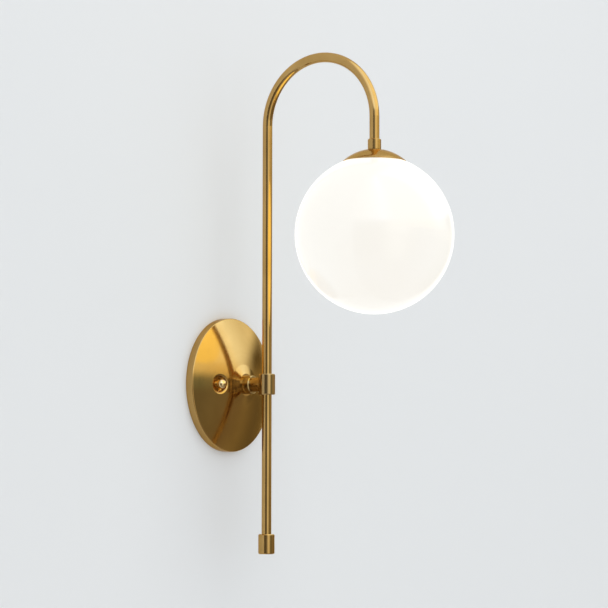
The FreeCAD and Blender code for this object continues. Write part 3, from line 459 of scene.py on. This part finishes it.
# %% [markdown]
# ## A soft lamp overhead
#
# A small lamp would throw hard shadows of the tube and the globe on the wall, where the
# photograph has none. One wide, weak lamp high in front of the wall gives the thin soft shadow
# under the plate's lower edge. Reflections don't show it, because they show the room's levels.

# %% Hang the soft lamp
SOFT_PLACE = Vector((0.05, -1.2, 1.9))
SOFT_AIM = Vector((0, -0.1, 0))
SOFT_SIZE = 0.9
SOFT_POWER = 6.0
SOFT_COLOUR = (1.0, 0.98, 0.95)

soft_light = bpy.data.lights.new("soft_overhead", "AREA")
soft_light.shape = "SQUARE"
soft_light.size = SOFT_SIZE
soft_light.energy = SOFT_POWER
soft_light.color = SOFT_COLOUR
soft_lamp = bpy.data.objects.new("soft_overhead", soft_light)
scene.collection.objects.link(soft_lamp)
away = (SOFT_PLACE - SOFT_AIM).to_track_quat("Z", "Y")
soft_lamp.matrix_world = Matrix.Translation(SOFT_PLACE) @ away.to_matrix().to_4x4()
soft_lamp.visible_glossy = False
soft_lamp.visible_camera = False
print("one soft lamp,", SOFT_SIZE, "m wide, of", SOFT_POWER, "W")

# %% [markdown]
# ## Satin brass
#
# The visible metal is brass, brushed to a satin and lacquered. Turned pieces carry fine rings
# round their axis, and the tube has fine lines along it. The lines could be cut into the mesh,
# but they are far too fine for that. We make them from a noise that is drawn out along them, and
# let it move the roughness and the bump a little.

# %% Draw the brushing
X_AXIS, Y_AXIS, Z_AXIS = range(3)
FINE_SCALE = 2600.0
COARSE_SCALE = 700.0
FINE_SHARE = 0.55
LINE_STRETCH = 0.02


def fine_and_coarse(board, stretch=(1, 1, 1), place=None):
    """Lines too fine to see one by one, and among them a few that can be seen."""
    fine = board.noise(FINE_SCALE, 2.0, stretch, place)
    coarse = board.noise(COARSE_SCALE, 2.0, stretch, place)
    return fine * FINE_SHARE + coarse * (1 - FINE_SHARE)


def upright_lines(board):
    """Fine lines along a drawn tube, many times as long as they are wide."""
    return fine_and_coarse(board, (1, 1, LINE_STRETCH))


def rings_round(axis, centre):
    """Fine rings round a turned piece's axis, from its distance to the axis and its height."""
    def build(board):
        offset = board.vector("SUBTRACT", board.spot(), centre)
        flat = [0.0 if n == axis else 1.0 for n in range(3)]
        sideways = board.vector("MULTIPLY", offset, flat)
        reach = board.add("ShaderNodeVectorMath", {"operation": "LENGTH"}, {0: sideways}, "Value")
        height = board.add("ShaderNodeSeparateXYZ", {}, {"Vector": offset}, output=axis)
        rolled = board.add("ShaderNodeCombineXYZ", {}, {"X": reach, "Y": height})
        return fine_and_coarse(board, place=rolled)
    return build


level_rings = rings_round(Y_AXIS, tuple(plate_axis))
upright_rings = rings_round(Z_AXIS, tuple(lamp_axis))
print("a line is about", round(1 / LINE_STRETCH), "times as long as it is wide")

# %% [markdown]
# ## The brass itself
#
# Brass is made by its two tones, which a slow noise mixes. A clear coat could stand for the
# lacquer, but it made the edges whitish. A metal's edge turns white by itself, and the edge tint
# keeps it as yellow as real brass is. What brass shows of other brass turns more orange. So the
# collar and the clamp, which stand close to the plate, get darker, less red tones than the plate:
# this is painted shade on what is the same brass. The ball nuts are polished brighter.

# %% Brass finishes
BRASS_LIGHT = (0.535, 0.335, 0.118)
BRASS_DEEP = (0.465, 0.285, 0.094)
BRASS_EDGE = (0.84, 0.68, 0.48)


def brushed_metal(light, deep, rough, lines):
    """A brushed metal: lines(board) gives the fine lines' values."""
    def build(board):
        tone = board.between(board.noise(scale=22.0, detail=4.0), low=0.35, high=0.65)
        grain = lines(board)
        return board.principled({
            "Base Color": board.colours(tone, deep, light),
            "Metallic": 1.0,
            "Specular Tint": BRASS_EDGE,
            "Roughness": board.between(grain, 0.25, 0.75, start=rough - 0.04, end=rough + 0.05),
            "Normal": board.bump(grain, distance=0.00002, strength=0.5)})
    return build


# For each way of working: the finish's name, its light and deep tone, its roughness, its lines.
BRASS_LOOKS = {
    "plate": ("brass_spun_plate", BRASS_LIGHT, BRASS_DEEP, 0.13, level_rings),
    # The collar's and the clamp's darker, less red tones are painted shade, not a brass of their
    # own.
    "collar": ("brass_turned_collar", (0.43, 0.30, 0.13), (0.35, 0.24, 0.10), 0.10, level_rings),
    "clamp": ("brass_clamp", (0.48, 0.32, 0.135), (0.415, 0.27, 0.11), 0.10, upright_lines),
    "tube": ("brass_drawn_tube", BRASS_LIGHT, BRASS_DEEP, 0.11, upright_lines),
    "turned": ("brass_turned_upright", BRASS_LIGHT, BRASS_DEEP, 0.14, upright_rings),
    "ball": ("brass_ball", (0.78, 0.60, 0.34), (0.70, 0.50, 0.24), 0.07, level_rings),
}
brass = {work: finish(name, brushed_metal(*look)) for work, (name, *look) in BRASS_LOOKS.items()}
print("brass finishes:", ", ".join(brass))

# %% [markdown]
# ## Opal glass
#
# The ball is white glass, polished outside. Light could be sent through it from the bulb, but
# that is slow and grainy, and opal glass spreads light so evenly that a little light of its own
# looks the same. Hand-blown glass is never quite even: a slow change in thickness moves its
# tone, and its skin has faint waves that bend the reflections. A camera clips the lit glass to
# white, but its mirror image in darker brass keeps its warm colour, so a ray that comes from
# polished metal meets a warm light instead. The bulb inside is frosted and glows more weakly.

# %% Glass finishes
LIT_STRENGTH = 0.745
MIRRORED_COLOUR = (1.0, 0.88, 0.365)
MIRRORED_STRENGTH = 1.9


def opal(board):
    """An even white, which polished metal beside it shows as a warm light."""
    thick = board.between(board.noise(scale=9.0, detail=2.0))
    skin = board.principled({
        "Base Color": board.colours(thick, (0.22, 0.215, 0.195), (0.24, 0.235, 0.215)),
        "Roughness": board.between(board.noise(scale=60.0), start=0.10, end=0.14),
        "Emission Color": board.colours(thick, (1.0, 0.965, 0.90), (1.0, 0.98, 0.93)),
        "Emission Strength": LIT_STRENGTH,
        "Normal": board.bump(board.noise(scale=14.0, detail=1.0), distance=0.0006, strength=0.15)})
    glow = board.add("ShaderNodeEmission", {}, {
        "Color": MIRRORED_COLOUR, "Strength": MIRRORED_STRENGTH})
    mirrored = board.add("ShaderNodeLightPath", output="Is Glossy Ray")
    return board.either(mirrored, skin, glow)


def frosted(board):
    frost = board.noise(scale=700.0)
    return board.principled({
        "Base Color": board.colours(frost, (0.40, 0.385, 0.35), (0.46, 0.45, 0.42)),
        "Roughness": board.between(frost, start=0.45, end=0.6),
        "Emission Color": board.colours(frost, (1.0, 0.88, 0.68), (1.0, 0.92, 0.76)),
        "Emission Strength": 0.50,
        "Normal": board.bump(frost, distance=0.00005, strength=0.4)})


glass = {"opal_glass": finish("opal_glass", opal), "frosted_glass": finish("bulb_frost", frosted)}
print(len(glass), "glass finishes")

# %% [markdown]
# ## Steel, plastic and rubber
#
# Behind the plate and inside the holder are plated steel, a black moulded lampholder, soft
# silicone and the insulation of the leads. A plain colour would do at this size, but close by
# each has a skin of its own: zinc shows cloudy grains, and moulded plastic and silicone a fine
# orange peel. One function makes all the steel and another all that is moulded.

# %% Workshop finishes
def zinc(light, deep, rough):
    """Plated steel, with small grains under a slow cloud."""
    def build(board):
        cells = board.add("ShaderNodeTexVoronoi", {}, {"Vector": board.spot(), "Scale": 420.0})
        cloud = board.noise(scale=90.0)
        return board.principled({
            "Base Color": board.colours(cells * 0.5 + cloud * 0.5, deep, light),
            "Metallic": 1.0,
            "Roughness": board.between(cloud, start=rough - 0.05, end=rough + 0.1),
            "Normal": board.bump(cells, distance=0.00004, strength=0.3)})
    return build


def moulded(light, deep, rough):
    """Plastic or rubber as it leaves the mould."""
    def build(board):
        peel = board.noise(scale=1400.0, detail=2.0)
        return board.principled({
            "Base Color": board.colours(board.noise(scale=45.0, detail=4.0), deep, light),
            "Roughness": board.between(peel, start=rough - 0.05, end=rough + 0.08),
            "Normal": board.bump(peel, distance=0.00004, strength=0.5)})
    return build


# For each slot of the record: the finish's name, its light and deep tone, and its roughness.
STEEL_LOOKS = {
    "zinc_steel": ("zinc_plate", (0.72, 0.73, 0.75), (0.50, 0.51, 0.53), 0.34),
    "spring_steel": ("spring_strip", (0.60, 0.60, 0.60), (0.44, 0.44, 0.45), 0.26),
    "black_steel": ("black_oxide", (0.09, 0.09, 0.10), (0.05, 0.05, 0.055), 0.4),
    "green_steel": ("green_zinc", (0.07, 0.38, 0.16), (0.04, 0.26, 0.10), 0.35),
}
MOULDED_LOOKS = {
    "black_phenolic": ("phenolic", (0.040, 0.038, 0.036), (0.022, 0.021, 0.020), 0.42),
    "black_plastic": ("black_nylon", (0.05, 0.05, 0.05), (0.03, 0.03, 0.03), 0.5),
    "black_insulation": ("black_lead", (0.05, 0.05, 0.05), (0.03, 0.03, 0.03), 0.35),
    "white_insulation": ("white_lead", (0.86, 0.86, 0.83), (0.78, 0.78, 0.75), 0.35),
    "white_rubber": ("silicone", (0.82, 0.81, 0.78), (0.72, 0.71, 0.68), 0.6),
}
RAW_LIGHT, RAW_DEEP = (0.72, 0.53, 0.25), (0.62, 0.44, 0.19)

workshop = {"raw_brass": finish(
    "machined_brass", brushed_metal(RAW_LIGHT, RAW_DEEP, 0.28, upright_rings))}
for slot, (name, *look) in STEEL_LOOKS.items():
    workshop[slot] = finish(name, zinc(*look))
for slot, (name, *look) in MOULDED_LOOKS.items():
    workshop[slot] = finish(name, moulded(*look))
print("workshop finishes:", ", ".join(workshop))

# %% [markdown]
# ## Threads
#
# The nipples, the studs and the bulb's base are threaded. A thread could be swept as geometry, but
# its ridges are shallow and mostly hidden, so a bump shows them: a ridge that climbs one pitch each
# time round the axis. Its colour is darker in the groove between the ridges, which is painted
# shade, and the metal's own on its crest. The two studs are one piece, so theirs is worked out from
# the axis of whichever stud a point is nearer to.

# %% Cut the threads
PIPE_PITCH = 0.00094
STUD_PITCH = 0.00079
BULB_PITCH = 0.00254
STUD_FROM_MIDDLE = 0.034925
THREAD_DEPTH = 0.7  # of the pitch


def threaded(crest, shaded_root, rough, node, line, axis, pitch, apart=0.0):
    """A right-hand ridge that climbs one pitch a turn, round the line or apart on both sides."""
    centre = tuple(nodes[node].matrix_world.inverted() @ line)

    def build(board):
        offset = board.vector("SUBTRACT", board.spot(), centre)
        parts = [board.add("ShaderNodeSeparateXYZ", {}, {"Vector": offset}, output=n)
                 for n in range(3)]
        if apart:
            which = board.add("ShaderNodeMath", {"operation": "SIGN"}, {0: parts[X_AXIS]})
            parts[X_AXIS] = parts[X_AXIS] - which * apart
        first, second = parts[(axis + 1) % 3], parts[(axis + 2) % 3]
        around = board.add("ShaderNodeMath", {"operation": "ARCTAN2"}, {0: second, 1: first})
        climb = parts[axis] / pitch - around / (2 * math.pi)
        ridge = board.add("ShaderNodeMath", {"operation": "PINGPONG"}, {0: climb, 1: 0.5})
        wear = board.noise(scale=300.0)
        return board.principled({
            # The darker colour towards the thread's root is painted shade in the groove.
            "Base Color": board.colours(ridge * 2, shaded_root, crest),
            "Metallic": 1.0,
            "Roughness": board.between(wear, start=rough - 0.04, end=rough + 0.06),
            "Normal": board.bump(ridge, distance=pitch * THREAD_DEPTH, strength=0.7)})
    return build


# Each thread's crest colour, its root colour darkened as painted shade, and its roughness.
BRASS_THREAD = ((0.72, 0.53, 0.25), (0.40, 0.27, 0.11), 0.3)
ZINC_THREAD = ((0.70, 0.71, 0.73), (0.36, 0.37, 0.39), 0.32)
NICKEL_THREAD = ((0.80, 0.78, 0.74), (0.48, 0.46, 0.43), 0.24)
thread_finish = {
    "canopy_nipple": finish("thread_canopy_nipple", threaded(
        *BRASS_THREAD, "canopy_nipple", plate_axis, Y_AXIS, PIPE_PITCH)),
    "holder_nipple": finish("thread_holder_nipple", threaded(
        *BRASS_THREAD, "holder_nipple", lamp_axis, Z_AXIS, PIPE_PITCH)),
    "canopy_studs": finish("thread_studs", threaded(
        *ZINC_THREAD, "canopy_studs", plate_axis, Y_AXIS, STUD_PITCH, STUD_FROM_MIDDLE)),
    "bulb_base": finish("thread_bulb_base", threaded(
        *NICKEL_THREAD, "bulb_base", lamp_axis, Z_AXIS, BULB_PITCH)),
}
print("threaded pieces:", ", ".join(thread_finish))

# %% [markdown]
# ## Give each piece its finish
#
# The record says which slot each piece takes its finish from, and that is enough for most.
# Threaded pieces have a finish each, because a thread needs its own axis. Brass pieces choose the
# brushing that their making leaves: spun, drawn, turned or polished. The collar's and the clamp's
# finishes also carry painted shade.

# %% Dress the pieces
BRUSHING = {
    "backplate": "plate", "canopy_collar": "collar", "stem_clamp": "clamp", "stem_tube": "tube",
    "stem_foot": "tube", "stem_coupler": "turned", "shade_holder": "turned",
    "ball_nut_left": "ball", "ball_nut_right": "ball",
}
slot_finish = {**glass, **workshop}


def finish_for(node, slot):
    if node in thread_finish:
        return thread_finish[node]
    if node in BRUSHING:
        return brass[BRUSHING[node]]
    return slot_finish[slot]


for row in frame["record"]["subparts"]:
    piece = nodes[row["node"]]
    piece.data.materials.clear()
    piece.data.materials.append(finish_for(row["node"], row["material_slot"]))

# %% [markdown]
# ## Bare copper
#
# The leads' conductors are drawn copper, which is pinkish where it is fresh and browner where it
# was handled. The metal's own colour could be left even, but the strands are so thin that a fast
# noise between two tones is what tells one from the next.

# %% Colour the copper
COPPER_DEEP, COPPER_LIGHT = (0.68, 0.33, 0.19), (0.86, 0.47, 0.30)


def bare_copper(board):
    drawn = board.noise(scale=1800.0, detail=2.0)
    return board.principled({
        "Base Color": board.colours(drawn, COPPER_DEEP, COPPER_LIGHT),
        "Metallic": 1.0,
        "Roughness": board.between(drawn, start=0.22, end=0.34),
        "Normal": board.bump(drawn, distance=0.00002, strength=0.4)})


copper = finish("bare_copper", bare_copper)
print("one copper finish,", copper.name)

# %% [markdown]
# ## The leads' bare ends
#
# Behind the plate each lead is stripped for a few millimetres. Its bare end is seven copper
# strands, one in the middle and six twisted round it, which start where the insulation stops.
# Curves with a round bevel could make them. We write the rings of points ourselves, because a
# straight lead's twist is only a sine and a cosine, and the ends then close as flat discs.

# %% Strip the leads
BARE_LENGTH = 0.0045
STRAND_SHARE = 0.24  # of the insulation's radius
STRANDS_ROUND = 6
STRAND_SIDES = 6
STRAND_STEPS = 8
RIM_DEPTH = 1e-5  # a lead's points this close to its end belong to the end's rim


def tail_end(name):
    """The middle and the radius of the lead's end that faces the wall."""
    piece = nodes[name]
    points = [piece.matrix_world @ corner.co for corner in piece.data.vertices]
    last = max(point.y for point in points)
    rim = [point for point in points if last - point.y < RIM_DEPTH]
    centre = sum(rim, Vector()) / len(rim)
    return centre, max((point - centre).length for point in rim)


def ring_point(radius, angle, forward=0.0):
    """A point at an angle round a lead's axis, which points at the wall."""
    return Vector((radius * math.cos(angle), forward, radius * math.sin(angle)))


def strand(points, faces, centre, radius, reach, start):
    """Add one strand that turns half a turn round the lead's axis on its way to the wall."""
    first = len(points)
    for step in range(STRAND_STEPS + 1):
        along = step / STRAND_STEPS
        hub = centre + ring_point(reach, start + along * math.pi, along * BARE_LENGTH)
        for side in range(STRAND_SIDES):
            points.append(hub + ring_point(radius, side * 2 * math.pi / STRAND_SIDES))
    for step in range(STRAND_STEPS):
        ring = first + step * STRAND_SIDES
        for side in range(STRAND_SIDES):
            following = (side + 1) % STRAND_SIDES
            faces.append((ring + side, ring + STRAND_SIDES + side,
                          ring + STRAND_SIDES + following, ring + following))
    faces.append(tuple(range(first, first + STRAND_SIDES)))
    faces.append(tuple(range(len(points) - 1, len(points) - 1 - STRAND_SIDES, -1)))


def bare_end(lead_name):
    centre, lead_radius = tail_end(lead_name)
    radius = lead_radius * STRAND_SHARE
    points, faces = [], []
    strand(points, faces, centre, radius, reach=0.0, start=0.0)
    for number in range(STRANDS_ROUND):
        strand(points, faces, centre, radius, radius * 2, number * 2 * math.pi / STRANDS_ROUND)
    mesh = bpy.data.meshes.new(lead_name + "_bare_end")
    mesh.from_pydata(points, [], faces)
    mesh.materials.append(copper)
    for face in mesh.polygons:
        face.use_smooth = True
    piece = bpy.data.objects.new(lead_name + "_bare_end", mesh)
    scene.collection.objects.link(piece)
    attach(piece, "lamp")
    return piece


bare_ends = [bare_end(name) for name in ("line_lead", "neutral_lead")]
print("bare ends:", [piece.name for piece in bare_ends])
